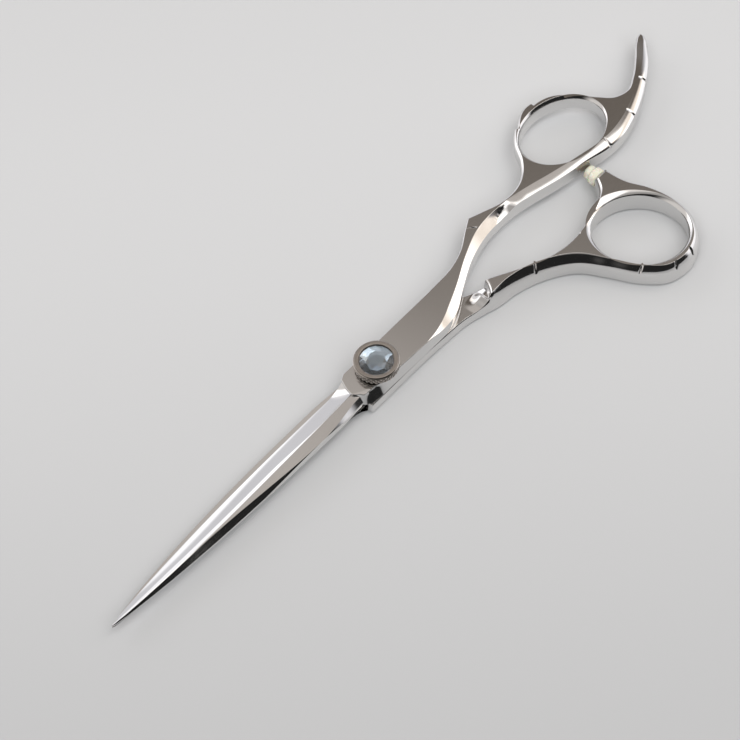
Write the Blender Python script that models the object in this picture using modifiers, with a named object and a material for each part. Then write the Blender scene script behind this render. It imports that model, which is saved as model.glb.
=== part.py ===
"""Hair cutting shears: two polished halves on a ball-bearing pivot with a click dial.

World frame: metres, +Z up. The origin is on the pivot axis, in the flat underside of the
pivot bolt's head, which is also the plane that the shears lie on. +X runs to the blade
tips, and +Y is the side of the thumb ring. The shears are closed.
"""
import math

import bmesh
import bpy

MM = 0.001

# ---- clearances, mm ----
REST_GAP = 0.3          # between the two halves' inner faces
FIT_GAP = 0.1           # between neighbours in the pivot's stack
RADIAL_GAP = 0.2        # round the bush, the races and the square neck
STOP_GAP = 0.3          # bumper to the finger half when closed
CUT_PAST = 1.0          # how far a cutter runs past the faces that it opens
SINK = 0.2              # how deep a form is set into the form that it joins

# ---- heights of the halves, mm ----
BASE_Z = 0.4            # underside of the thumb half
THUMB_INNER_Z = 3.15    # inner face of the thumb half
FINGER_INNER_Z = THUMB_INNER_Z + REST_GAP
FINGER_TOP_Z = 6.4      # ricasso face of the finger half
FINGER_HANDLE_Z = 2.2   # underside of the finger half's handle
THUMB_TOP_Z = 6.0       # upper face of the thumb half's handle
THUMB_STEP = (-31.2, 2.9)   # inner end of the step where the thumb half's handle rises
STEP_SLANT = 39.0       # lean of that step from straight across, degrees
FINGER_STEP_X = -29.0   # where the finger half's handle drops from its inner face
RELIEF_REACH = 12.0     # reach of the cutters that halve the ricasso, past its edges
FINGER_EDGE = 0.8       # rounding of the finger half's handle
THUMB_EDGE = 0.8        # rounding of the thumb half's handle

# ---- outlines of the halves seen from above, mm; True marks a sharp corner ----
FINGER_OUTLINE = (
    (5.9, -4.1, True), (-12.0, -4.15, False), (-22.0, -4.3, False), (-28.0, -4.7, False),
    (-32.5, -6.1, False), (-36.5, -8.5, False), (-39.7, -10.4, True), (-43.0, -9.2, False),
    (-47.5, -7.8, False), (-51.5, -7.7, False), (-55.2, -9.0, False), (-58.3, -11.9, False),
    (-60.6, -15.6, False), (-64.3, -18.7, False), (-69.3, -20.6, False), (-74.3, -19.2, False),
    (-79.1, -15.0, False), (-82.0, -10.4, False), (-84.3, -7.5, False), (-87.2, -6.6, False),
    (-91.0, -7.9, False), (-95.5, -10.8, False), (-100.6, -14.4, False),
    (-101.7, -13.7, False), (-97.4, -9.1, False), (-92.3, -5.7, False), (-87.0, -3.1, False),
    (-82.0, -1.1, False), (-77.5, -0.2, False), (-73.0, -0.2, False), (-67.0, -1.1, False),
    (-60.0, -2.4, False), (-52.5, -4.2, False), (-45.0, -5.0, False), (-39.0, -4.7, False),
    (-33.0, -3.0, False), (-26.0, 0.5, False), (-21.0, 3.3, False), (-16.5, 4.5, False),
    (-12.0, 4.6, False), (6.8, 4.5, True), (8.0, 1.5, True), (7.2, -3.4, True),
)
THUMB_OUTLINE = (
    (6.0, -4.2, True), (-12.0, -4.3, False), (-16.0, -4.2, False), (-19.5, -3.3, False),
    (-23.0, -1.3, False), (-26.0, 0.8, False), (-31.2, 2.9, False), (-37.4, 6.2, False),
    (-43.0, 8.8, False), (-49.0, 9.9, False), (-55.0, 9.2, False), (-60.4, 7.5, False),
    (-63.4, 5.5, False), (-65.2, 3.0, True), (-68.6, 3.0, True), (-69.0, 8.5, False),
    (-70.9, 13.3, False), (-72.0, 19.0, False), (-71.3, 24.7, False), (-67.9, 29.4, False),
    (-62.8, 31.3, False), (-57.6, 30.2, False), (-53.3, 25.7, False), (-50.0, 19.4, False),
    (-46.9, 14.1, False), (-41.0, 9.4, False), (-34.0, 6.3, False), (-25.0, 4.9, False),
    (-16.0, 4.5, False), (6.5, 4.4, True), (7.0, 2.0, True),
)

# ---- finger holes: centre, long and short half axes, turn of the long axis ----
FINGER_HOLE = (-70.1, -10.1, 10.1, 7.8, 171.0)
THUMB_HOLE = (-61.1, 18.8, 10.3, 8.9, 126.0)

# ---- blades, mm ----
BLADE_ROOT_X = 5.0      # where the blade starts, inside the ricasso
BLADE_TIP_X = 78.0      # blade point from the pivot
BLADE_HEEL_X = 8.0      # where the blade starts to taper
EDGE_Y = 3.2            # cutting edge from the centre line, at the heel
SPINE_Y = 3.4           # spine from the centre line, at the heel
LOWER_SPINE_Y = 4.3     # the lower blade's spine stands out past the upper edge
EDGE_POWER = 2.6        # how late the edge turns in to the point
SPINE_POWER = 3.0       # how late the spine turns in to the point
RIDGE_HEIGHT = 1.95     # ridge above the inner face, at the heel
RIDGE_FALL = 1.5        # how much of that is lost at the point
RIDGE_FALL_POWER = 1.5  # how late it is lost
RIDGE_PLACE = 0.1       # ridge from the centre line, as a share of the spine, at the heel
RIDGE_DRIFT = 0.5       # and what the point adds to that share
EDGE_LAND = 0.08        # upright land at the cutting edge
SHOULDER_LEAN = 0.85    # how much of the outer flat the spine's bevel takes away
SHOULDER_HEIGHT = 0.97  # shoulder's height, as a share of the ridge's
SPINE_WALL = 0.25       # upright part of the spine, as a share of the ridge's height
TIP_HALF_WIDTH = 0.3
HOLLOW_DEPTH = 0.2      # hollow ground into the inner face
SPINE_BEVEL_X = 22.0    # where the spine's vertical wall starts to lean in
RIDGE_MEETS_SPINE_X = 57.0
BLADE_STATIONS = 13

# ---- pivot bolt, mm ----
HEAD_RADIUS = 3.3
HEAD_THICKNESS = 0.7
NECK_WIDTH = 3.2        # square neck, keyed in the thumb half
JOURNAL_RADIUS = 1.6
THREAD_RADIUS = 1.3
BOLT_CHAMFER = 0.15
KEY_FLAT = 0.95         # half width across the flats that key the click washer

# ---- pivot stack, mm ----
WASHER_THICKNESS = 0.4  # slip washer between the halves
WASHER_RADIUS = 3.2
BUSH_RADIUS = 2.2
BUSH_LENGTH = 1.05
RACE_WIDTH = 1.3        # from bore to rim
RACE_JOURNAL_GAP = 0.3  # race's bore to the journal
RACE_THICKNESS = 0.3
BALL_RADIUS = 0.35
BALL_COUNT = 10
BALL_INSET = 0.7        # ball's centre to the races' rim
CAGE_THICKNESS = 0.3
POCKET_GAP = 0.08       # ball to its pocket in the cage
SPRING_STRIP = 0.12     # thickness of the wave spring's strip
SPRING_WAVE = 0.1       # half height of its waves
SPRING_WAVES = 3
CLICK_THICKNESS = 0.2
CLICK_RADIUS = 3.9
CLICK_NOTCHES = 12
CLICK_NOTCH_RADIUS = 0.3

# ---- dial and stone, mm ----
DIAL_RADIUS = 4.83
DIAL_HEIGHT = 1.95
DIAL_LIFT = 0.25        # running gap to the ricasso
DIAL_EDGE = 0.3
KNURL_COUNT = 30
KNURL_DEPTH = 0.14
KNURL_DROP = 0.02       # crests below the rim's edge
KNURL_FOOT = 0.15       # plain band below the knurl
KNURL_HEAD = 0.05       # plain band above it
RIM_UNDERCUT = 0.1      # slope from the rim in to the knurl's core
STONE_RADIUS = 3.6      # 7.2 mm stone
STONE_HEIGHT = 1.1
STONE_TABLE = 1.75
STONE_FACETS = 16
STONE_GIRDLE = 0.25     # height of the upright band
STONE_BREAK = 0.8       # where the two rows of facets meet, as a share of the radius
STONE_BREAK_DROP = 0.42 # and below the table, as a share of the height
SEAT_WALL_GAP = 0.15
SEAT_DEPTH = 0.7
FOIL_THICKNESS = 0.1

# ---- bumper, mm ----
BUMPER_RADIUS = 2.1
BUMPER_DOME = 0.6       # height of the dome, as a share of the radius
BUMPER_DOME_ROWS = ((0.0, 0.0), (0.55, 0.15), (0.88, 0.5), (1.0, 1.0))  # shares: out, down
BUMPER_FOOT = 0.2       # chamfer at the foot
BUMPER_STEM_RADIUS = 0.9
BUMPER_STEM = 2.2
BUMPER_X = -67.0
BUMPER_Z = 3.2
NECK_END_Y = 3.0        # end face of the thumb ring's neck
FINGER_WALL_Y = -1.1    # finger half's wall opposite the bumper

ROUND = 32              # facets of a round piece
LOOP_STEPS = 3          # straight pieces between two points of an outline

# ---- radii and heights that follow in the pivot's stack ----
RACE_BORE = JOURNAL_RADIUS + RACE_JOURNAL_GAP
RACE_RADIUS = RACE_BORE + RACE_WIDTH
BALL_PITCH_RADIUS = RACE_RADIUS - BALL_INSET
RECESS_RADIUS = RACE_RADIUS + RADIAL_GAP
BUSH_Z = FINGER_INNER_Z + FIT_GAP
RECESS_Z = BUSH_Z + BUSH_LENGTH + FIT_GAP
LOWER_RACE_Z = RECESS_Z + FIT_GAP
BALL_Z = LOWER_RACE_Z + RACE_THICKNESS + FIT_GAP + BALL_RADIUS
UPPER_RACE_Z = BALL_Z + BALL_RADIUS + FIT_GAP
SPRING_Z = UPPER_RACE_Z + RACE_THICKNESS + FIT_GAP + SPRING_WAVE + SPRING_STRIP / 2
CLICK_Z = SPRING_Z + SPRING_WAVE + SPRING_STRIP / 2 + FIT_GAP
HUB_Z = CLICK_Z + CLICK_THICKNESS + FIT_GAP
DIAL_Z = FINGER_TOP_Z + DIAL_LIFT
DIAL_TOP_Z = DIAL_Z + DIAL_HEIGHT
SEAT_Z = DIAL_TOP_Z - SEAT_DEPTH
BOLT_END_Z = SEAT_Z - FIT_GAP
FOIL_Z = SEAT_Z + FIT_GAP / 2
STONE_Z = FOIL_Z + FOIL_THICKNESS + FIT_GAP / 2
CUT_BASE_Z = BASE_Z - CUT_PAST
CUT_TOP_Z = FINGER_TOP_Z + CUT_PAST


def clear_scene():
    for old in list(bpy.data.objects):
        bpy.data.objects.remove(old, do_unlink=True)


def collection(name):
    made = bpy.data.collections.new(name)
    bpy.context.scene.collection.children.link(made)
    return made


def material(name, colour, roughness, metallic):
    made = bpy.data.materials.new(name)
    made.use_nodes = True
    shader = made.node_tree.nodes["Principled BSDF"]
    shader.inputs["Base Color"].default_value = (*colour, 1.0)
    shader.inputs["Roughness"].default_value = roughness
    shader.inputs["Metallic"].default_value = metallic
    return made


def keep(obj, name, finish=None, home=None):
    """Name an object, give it its material and move it to its collection."""
    obj.name = name
    obj.data.name = name
    for old in list(obj.users_collection):
        old.objects.unlink(obj)
    (home or PARTS).objects.link(obj)
    if finish:
        obj.data.materials.clear()
        obj.data.materials.append(finish)
    return obj


def cutter(obj, name):
    keep(obj, name, home=CUTTERS)
    obj.hide_render = True
    obj.display_type = "WIRE"
    return obj


def boolean(obj, tool, operation="DIFFERENCE"):
    mod = obj.modifiers.new(tool.name, "BOOLEAN")
    mod.operation = operation
    mod.solver = "EXACT"
    mod.object = tool


def smooth(obj, angle=30.0):
    obj.data.shade_smooth()
    obj.data.set_sharp_from_angle(angle=math.radians(angle))


def cylinder(name, radius, low, high, centre=(0.0, 0.0), vertices=ROUND):
    """A cutter cylinder from height low to height high."""
    bpy.ops.mesh.primitive_cylinder_add(
        vertices=vertices, radius=radius * MM, depth=(high - low) * MM,
        location=(centre[0] * MM, centre[1] * MM, (low + high) / 2 * MM))
    return cutter(bpy.context.object, name)


def box(name, low, high):
    """A cutter box between two corners."""
    size = [(b - a) * MM for a, b in zip(low, high)]
    middle = [(a + b) / 2 * MM for a, b in zip(low, high)]
    bpy.ops.mesh.primitive_cube_add(size=1.0, location=middle)
    obj = bpy.context.object
    obj.scale = size
    bpy.ops.object.transform_apply(location=False, rotation=False, scale=True)
    return cutter(obj, name)


def turned(name, profile, finish, steps=ROUND):
    """Turn a closed or axis-to-axis profile of (radius, height) about Z."""
    closed = profile[0][0] > 0.0
    count = len(profile)
    edges = [(i, (i + 1) % count) for i in range(count if closed else count - 1)]
    mesh = bpy.data.meshes.new(name)
    mesh.from_pydata([(r * MM, 0.0, z * MM) for r, z in profile], edges, [])
    obj = bpy.data.objects.new(name, mesh)
    PARTS.objects.link(obj)
    mod = obj.modifiers.new("turn", "SCREW")
    mod.steps = steps
    mod.render_steps = steps
    mod.use_merge_vertices = True
    mod.merge_threshold = 0.00001
    mod.use_smooth_shade = False
    return keep(obj, name, finish)


def ring(name, inner, outer, low, high, finish, steps=ROUND):
    """A flat ring between two radii and two heights."""
    profile = [(outer, high), (outer, low), (inner, low), (inner, high)]
    return turned(name, profile, finish, steps)


def add_loop(curve, points):
    """A closed Bezier loop through points; a sharp point gets straight handles."""
    loop = curve.splines.new("BEZIER")
    loop.bezier_points.add(len(points) - 1)
    loop.use_cyclic_u = True
    loop.resolution_u = LOOP_STEPS
    for point, (x, y, sharp) in zip(loop.bezier_points, points):
        point.co = (x * MM, y * MM, 0.0)
        handle = "VECTOR" if sharp else "AUTO"
        point.handle_left_type = handle
        point.handle_right_type = handle


def ellipse(centre_x, centre_y, long_axis, short_axis, turn, count=14):
    """Points of an ellipse whose long axis is turned by an angle in degrees."""
    c = math.cos(math.radians(turn))
    s = math.sin(math.radians(turn))
    points = []
    for i in range(count):
        a = 2 * math.pi * i / count
        u = long_axis * math.cos(a)
        v = short_axis * math.sin(a)
        points.append((centre_x + u * c - v * s, centre_y + u * s + v * c, False))
    return points


def plate(name, outline, hole, low, high, edge, finish):
    """A rounded plate with one finger hole, cut to its outline."""
    curve = bpy.data.curves.new(name, "CURVE")
    curve.dimensions = "2D"
    curve.fill_mode = "BOTH"
    curve.resolution_u = LOOP_STEPS
    curve.render_resolution_u = LOOP_STEPS
    curve.extrude = (high - low) / 2 * MM - edge * MM
    curve.bevel_depth = edge * MM
    curve.bevel_resolution = 1
    curve.offset = -edge * MM
    add_loop(curve, outline)
    add_loop(curve, ellipse(*hole))
    shape = bpy.data.objects.new(name, curve)
    shape.location.z = (low + high) / 2 * MM
    PARTS.objects.link(shape)
    bpy.context.view_layer.update()
    graph = bpy.context.evaluated_depsgraph_get()
    mesh = bpy.data.meshes.new_from_object(shape.evaluated_get(graph))
    work = bmesh.new()
    work.from_mesh(mesh)
    bmesh.ops.remove_doubles(work, verts=work.verts, dist=0.000005)
    bmesh.ops.recalc_face_normals(work, faces=work.faces)
    work.to_mesh(mesh)
    work.free()
    obj = bpy.data.objects.new(name, mesh)
    obj.matrix_world = shape.matrix_world
    bpy.data.objects.remove(shape, do_unlink=True)
    PARTS.objects.link(obj)
    return keep(obj, name, finish)


def ease(value):
    """A smooth step from 0 to 1."""
    t = min(max(value, 0.0), 1.0)
    return t * t * (3 - 2 * t)


def blade(name, spine_width, side, inner_z):
    """A sword-ground blade: edge, ridge, spine and a hollow inner face.

    side is +1 for the upper blade, whose edge is at -Y and outer face up, and -1 for the
    lower one, which is the same form turned half round about X.
    """
    rings = []
    for i in range(BLADE_STATIONS + 1):
        if i == 0:
            x = BLADE_ROOT_X
        else:
            x = BLADE_HEEL_X + (BLADE_TIP_X - BLADE_HEEL_X) * (i - 1) / (BLADE_STATIONS - 1)
        u = max(0.0, (x - BLADE_HEEL_X) / (BLADE_TIP_X - BLADE_HEEL_X))
        edge = -TIP_HALF_WIDTH - (EDGE_Y - TIP_HALF_WIDTH) * (1 - u ** EDGE_POWER)
        spine = TIP_HALF_WIDTH + (spine_width - TIP_HALF_WIDTH) * (1 - u ** SPINE_POWER)
        ridge = (RIDGE_PLACE + RIDGE_DRIFT * u) * spine
        lean = ease((x - SPINE_BEVEL_X) / (RIDGE_MEETS_SPINE_X - SPINE_BEVEL_X))
        shoulder = spine - (spine - ridge) * SHOULDER_LEAN * lean
        height = RIDGE_HEIGHT - RIDGE_FALL * u ** RIDGE_FALL_POWER
        hollow = HOLLOW_DEPTH * (1 - u)
        middle = (edge + spine) / 2
        section = ((edge, 0.0), (edge, EDGE_LAND), (ridge, height),
                   (shoulder, height * SHOULDER_HEIGHT), (spine, height * SPINE_WALL),
                   (spine, 0.0), (middle, hollow))
        rings.append([(x * MM, side * y * MM, (inner_z + side * z) * MM) for y, z in section])
    count = len(rings[0])
    verts = [v for loop in rings for v in loop]
    faces = []
    for i in range(len(rings) - 1):
        for k in range(count):
            a = i * count + k
            b = i * count + (k + 1) % count
            faces.append((a, b, b + count, a + count))
    faces.append(tuple(range(count))[::-1])
    faces.append(tuple(range(len(verts) - count, len(verts))))
    mesh = bpy.data.meshes.new(name)
    mesh.from_pydata(verts, [], faces)
    work = bmesh.new()
    work.from_mesh(mesh)
    bmesh.ops.recalc_face_normals(work, faces=work.faces)
    work.to_mesh(mesh)
    work.free()
    obj = bpy.data.objects.new(name, mesh)
    PARTS.objects.link(obj)
    return cutter(obj, name)


def make_finger_half():
    body = plate("finger_half", FINGER_OUTLINE, FINGER_HOLE, FINGER_HANDLE_Z, FINGER_TOP_Z,
                 FINGER_EDGE, STEEL)
    below = box("finger_relief", (FINGER_STEP_X, -RELIEF_REACH, CUT_BASE_Z),
                (RELIEF_REACH, RELIEF_REACH, FINGER_INNER_Z))
    boolean(body, below)
    boolean(body, blade("finger_blade_form", SPINE_Y, 1, FINGER_INNER_Z), "UNION")
    boolean(body, cylinder("finger_bush_bore", BUSH_RADIUS + RADIAL_GAP, CUT_BASE_Z,
                           CUT_TOP_Z))
    boolean(body, cylinder("finger_bearing_recess", RECESS_RADIUS, RECESS_Z, CUT_TOP_Z))
    smooth(body)


def make_thumb_half():
    body = plate("thumb_half", THUMB_OUTLINE, THUMB_HOLE, BASE_Z, THUMB_TOP_Z,
                 THUMB_EDGE, STEEL)
    above = box("thumb_relief", (THUMB_STEP[0], -RELIEF_REACH, THUMB_INNER_Z),
                (RELIEF_REACH, RELIEF_REACH, CUT_TOP_Z))
    slope = math.tan(math.radians(STEP_SLANT))
    for vert in above.data.vertices:
        if vert.co.x < 0.0:
            vert.co.x += (vert.co.y - THUMB_STEP[1] * MM) * slope
    boolean(body, above)
    square = NECK_WIDTH / 2 + RADIAL_GAP
    boolean(body, box("thumb_neck_hole", (-square, -square, CUT_BASE_Z),
                      (square, square, CUT_TOP_Z)))
    head_top = HEAD_THICKNESS + FIT_GAP
    boolean(body, cylinder("thumb_head_recess", HEAD_RADIUS + RADIAL_GAP, CUT_BASE_Z,
                           head_top))
    floor = THUMB_INNER_Z + REST_GAP - FIT_GAP - WASHER_THICKNESS - FIT_GAP
    boolean(body, cylinder("thumb_washer_recess", WASHER_RADIUS + RADIAL_GAP, floor,
                           CUT_TOP_Z))
    boolean(body, blade("thumb_blade_form", LOWER_SPINE_Y, -1, THUMB_INNER_Z), "UNION")
    bpy.ops.mesh.primitive_cylinder_add(
        vertices=16, radius=(BUMPER_STEM_RADIUS + FIT_GAP) * MM,
        depth=2 * (BUMPER_STEM + FIT_GAP) * MM,
        location=(BUMPER_X * MM, NECK_END_Y * MM, BUMPER_Z * MM),
        rotation=(math.pi / 2, 0.0, 0.0))
    boolean(body, cutter(bpy.context.object, "thumb_bumper_hole"))
    smooth(body)


def make_bumper():
    """A silicone stop: a domed head with a stem that is pressed into the neck."""
    length = NECK_END_Y - FINGER_WALL_Y - STOP_GAP - FIT_GAP
    dome = BUMPER_RADIUS * BUMPER_DOME
    profile = [(BUMPER_RADIUS * out, length - dome * down) for out, down in BUMPER_DOME_ROWS]
    profile += [(BUMPER_RADIUS, BUMPER_FOOT), (BUMPER_RADIUS - BUMPER_FOOT, 0.0),
                (BUMPER_STEM_RADIUS, 0.0), (BUMPER_STEM_RADIUS, -BUMPER_STEM),
                (0.0, -BUMPER_STEM)]
    bumper = turned("bumper", profile, SILICONE, 24)
    bumper.location = (BUMPER_X * MM, (NECK_END_Y - FIT_GAP) * MM, BUMPER_Z * MM)
    bumper.rotation_euler.x = math.pi / 2


def make_pivot_bolt():
    """Flat head below, square neck, plain journal and a keyed thread for the dial."""
    neck_top = THUMB_INNER_Z + REST_GAP - FIT_GAP - WASHER_THICKNESS - FIT_GAP - FIT_GAP
    shoulder = SPRING_Z - SPRING_WAVE
    profile = [(0.0, BOLT_END_Z), (THREAD_RADIUS - BOLT_CHAMFER, BOLT_END_Z),
               (THREAD_RADIUS, BOLT_END_Z - BOLT_CHAMFER), (THREAD_RADIUS, shoulder),
               (JOURNAL_RADIUS, shoulder), (JOURNAL_RADIUS, HEAD_THICKNESS),
               (HEAD_RADIUS, HEAD_THICKNESS), (HEAD_RADIUS, BOLT_CHAMFER),
               (HEAD_RADIUS - BOLT_CHAMFER, 0.0), (0.0, 0.0)]
    bolt = turned("pivot_bolt", profile, STEEL_DARK)
    half = NECK_WIDTH / 2
    neck = box("bolt_neck_form", (-half, -half, HEAD_THICKNESS - SINK), (half, half, neck_top))
    boolean(bolt, neck, "UNION")
    for side in (-1, 1):
        near = sorted((side * KEY_FLAT, side * HEAD_RADIUS))
        flat = box(f"bolt_key_flat_{side + 2}", (near[0], -HEAD_RADIUS, shoulder),
                   (near[1], HEAD_RADIUS, BOLT_END_Z + CUT_PAST))
        boolean(bolt, flat)


def make_washer_and_bush():
    washer_z = THUMB_INNER_Z + REST_GAP - FIT_GAP - WASHER_THICKNESS
    ring("blade_washer", JOURNAL_RADIUS + RADIAL_GAP, WASHER_RADIUS,
         washer_z, washer_z + WASHER_THICKNESS, PTFE)
    ring("pivot_bush", JOURNAL_RADIUS + FIT_GAP, BUSH_RADIUS, BUSH_Z, BUSH_Z + BUSH_LENGTH,
         BRONZE)


def make_bearing():
    """Two hardened races, a brass cage and its balls, in the finger half's recess."""
    for name, z in (("lower_race", LOWER_RACE_Z), ("upper_race", UPPER_RACE_Z)):
        ring(name, RACE_BORE, RACE_RADIUS, z, z + RACE_THICKNESS, STEEL_DARK)
    low = BALL_Z - CAGE_THICKNESS / 2
    cage = ring("bearing_cage", JOURNAL_RADIUS + RADIAL_GAP, RACE_RADIUS - FIT_GAP / 2,
                low, low + CAGE_THICKNESS, BRASS)
    axis = bpy.data.objects.new("bearing_axis", None)
    axis.location.z = BALL_Z * MM
    PARTS.objects.link(axis)
    for i in range(BALL_COUNT):
        angle = 2 * math.pi * i / BALL_COUNT
        x = BALL_PITCH_RADIUS * math.cos(angle)
        y = BALL_PITCH_RADIUS * math.sin(angle)
        pocket = cylinder(f"cage_pocket_{i + 1:02d}", BALL_RADIUS + POCKET_GAP,
                          low - CUT_PAST, low + CAGE_THICKNESS + CUT_PAST, (x, y), 12)
        boolean(cage, pocket)
        bpy.ops.mesh.primitive_uv_sphere_add(
            segments=10, ring_count=6, radius=BALL_RADIUS * MM, location=(x * MM, y * MM, 0.0))
        ball = keep(bpy.context.object, f"bearing_ball_{i + 1:02d}", STEEL_DARK)
        ball.parent = axis
        ball.data.shade_smooth()


def make_wave_spring():
    """A flat strip closed to a ring that rises and falls in even waves."""
    count = 12 * SPRING_WAVES
    verts = []
    for i in range(count):
        a = 2 * math.pi * i / count
        z = SPRING_Z + SPRING_WAVE * math.cos(SPRING_WAVES * a)
        half = SPRING_STRIP / 2
        corners = ((RACE_RADIUS, z + half), (RACE_RADIUS, z - half),
                   (RACE_BORE + RADIAL_GAP, z - half), (RACE_BORE + RADIAL_GAP, z + half))
        verts += [(r * math.cos(a) * MM, r * math.sin(a) * MM, h * MM) for r, h in corners]
    faces = []
    for i in range(count):
        a = 4 * i
        b = 4 * ((i + 1) % count)
        faces += [(a + k, a + (k + 1) % 4, b + (k + 1) % 4, b + k) for k in range(4)]
    mesh = bpy.data.meshes.new("wave_spring")
    mesh.from_pydata(verts, [], faces)
    work = bmesh.new()
    work.from_mesh(mesh)
    bmesh.ops.recalc_face_normals(work, faces=work.faces)
    work.to_mesh(mesh)
    work.free()
    obj = bpy.data.objects.new("wave_spring", mesh)
    PARTS.objects.link(obj)
    keep(obj, "wave_spring", STEEL_DARK)


def make_click_washer():
    """A notched washer, keyed on the bolt's flats, that the dial clicks against."""
    washer = turned("click_washer", [(0.0, CLICK_Z + CLICK_THICKNESS),
                                     (CLICK_RADIUS, CLICK_Z + CLICK_THICKNESS),
                                     (CLICK_RADIUS, CLICK_Z), (0.0, CLICK_Z)], STEEL_DARK)
    low = CLICK_Z - CUT_PAST
    high = CLICK_Z + CLICK_THICKNESS + CUT_PAST
    hole = cylinder("click_key_hole", THREAD_RADIUS + FIT_GAP, low, high)
    flat = KEY_FLAT + FIT_GAP
    key = box("click_key_width", (-flat, -CLICK_RADIUS, low - CUT_PAST),
              (flat, CLICK_RADIUS, high + CUT_PAST))
    boolean(hole, key, "INTERSECT")
    boolean(washer, hole)
    for i in range(CLICK_NOTCHES):
        a = 2 * math.pi * (i + 0.5) / CLICK_NOTCHES
        at = (CLICK_RADIUS * math.cos(a), CLICK_RADIUS * math.sin(a))
        notch = cylinder(f"click_notch_{i + 1:02d}", CLICK_NOTCH_RADIUS, low, high, at, 8)
        boolean(washer, notch)


def make_dial():
    """The click dial: a knurled cup with a threaded hub and a seat for the stone."""
    top = DIAL_TOP_Z
    cup = CLICK_RADIUS + RADIAL_GAP
    seat = STONE_RADIUS + SEAT_WALL_GAP
    core = DIAL_RADIUS - KNURL_DEPTH
    profile = [(seat, top), (DIAL_RADIUS - DIAL_EDGE, top), (DIAL_RADIUS, top - DIAL_EDGE),
               (core, top - DIAL_EDGE - RIM_UNDERCUT), (core, DIAL_Z), (cup, DIAL_Z), (cup, HUB_Z),
               (THREAD_RADIUS + FIT_GAP, HUB_Z), (THREAD_RADIUS + FIT_GAP, SEAT_Z),
               (seat, SEAT_Z)]
    dial = turned("tension_dial", profile, STEEL_BRUSHED, 2 * KNURL_COUNT)
    low = DIAL_Z + KNURL_FOOT
    high = top - DIAL_EDGE - KNURL_HEAD
    crest = DIAL_RADIUS - KNURL_DROP
    bpy.ops.mesh.primitive_cylinder_add(
        vertices=2 * KNURL_COUNT, radius=crest * MM, depth=(high - low) * MM,
        location=(0.0, 0.0, (low + high) / 2 * MM))
    knurl = cutter(bpy.context.object, "dial_knurl_form")
    groove = (crest - KNURL_DEPTH) / crest
    for vert in knurl.data.vertices:
        turn = math.atan2(vert.co.y, vert.co.x) * KNURL_COUNT / math.pi
        if round(turn) % 2:
            vert.co.x *= groove
            vert.co.y *= groove
    hollow = cylinder("dial_knurl_bore", core - SINK, low - CUT_PAST, high + CUT_PAST)
    boolean(knurl, hollow)
    boolean(dial, knurl, "UNION")


def make_stone():
    """A faceted flat-backed stone on its foil, set in the dial."""
    turned("stone_foil", [(0.0, FOIL_Z + FOIL_THICKNESS), (STONE_RADIUS, FOIL_Z + FOIL_THICKNESS),
                          (STONE_RADIUS, FOIL_Z), (0.0, FOIL_Z)], FOIL)
    top = STONE_Z + STONE_HEIGHT
    profile = [(0.0, top), (STONE_TABLE, top),
               (STONE_RADIUS * STONE_BREAK, top - STONE_HEIGHT * STONE_BREAK_DROP),
               (STONE_RADIUS, STONE_Z + STONE_GIRDLE), (STONE_RADIUS, STONE_Z), (0.0, STONE_Z)]
    turned("stone", profile, CRYSTAL, STONE_FACETS)


clear_scene()
PARTS = collection("hair_cutting_shears")
CUTTERS = collection("cutters")
STEEL = material("polished steel", (0.62, 0.61, 0.60), 0.12, 1.0)
STEEL_DARK = material("hardened steel", (0.42, 0.42, 0.43), 0.25, 1.0)
STEEL_BRUSHED = material("turned steel", (0.55, 0.54, 0.52), 0.3, 1.0)
BRONZE = material("bearing bronze", (0.55, 0.36, 0.18), 0.35, 1.0)
BRASS = material("brass", (0.74, 0.56, 0.25), 0.3, 1.0)
PTFE = material("white ptfe", (0.86, 0.86, 0.84), 0.5, 0.0)
SILICONE = material("clear silicone", (0.78, 0.76, 0.62), 0.35, 0.0)
FOIL = material("blue foil", (0.30, 0.42, 0.55), 0.3, 1.0)
CRYSTAL = material("pale blue glass", (0.60, 0.72, 0.80), 0.05, 0.0)

make_finger_half()
make_thumb_half()
make_bumper()
make_pivot_bolt()
make_washer_and_bush()
make_bearing()
make_wave_spring()
make_click_washer()
make_dial()
make_stone()
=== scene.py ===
"""Looks of a pair of hair cutting shears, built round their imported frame.

World frame: metres, +Z up, origin on the pivot axis at the plane that the shears lie on,
+X to the blade tips, +Y to the side of the thumb ring.
"""
import math

import bmesh
import bpy
import numpy as np
from mathutils import Matrix, Vector
from mathutils.geometry import delaunay_2d_cdt


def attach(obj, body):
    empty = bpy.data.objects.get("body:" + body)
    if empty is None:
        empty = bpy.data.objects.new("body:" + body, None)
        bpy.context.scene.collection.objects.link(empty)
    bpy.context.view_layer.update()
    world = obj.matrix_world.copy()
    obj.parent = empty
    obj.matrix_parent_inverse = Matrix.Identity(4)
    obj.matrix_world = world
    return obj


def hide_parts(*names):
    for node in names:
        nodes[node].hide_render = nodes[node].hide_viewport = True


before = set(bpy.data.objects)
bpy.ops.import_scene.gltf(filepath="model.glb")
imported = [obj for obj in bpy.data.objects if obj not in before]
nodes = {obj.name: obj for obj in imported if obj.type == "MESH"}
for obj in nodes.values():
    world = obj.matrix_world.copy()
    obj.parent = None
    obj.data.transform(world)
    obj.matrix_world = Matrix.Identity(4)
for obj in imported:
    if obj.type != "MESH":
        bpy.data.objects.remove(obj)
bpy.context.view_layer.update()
scene = bpy.context.scene

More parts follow.
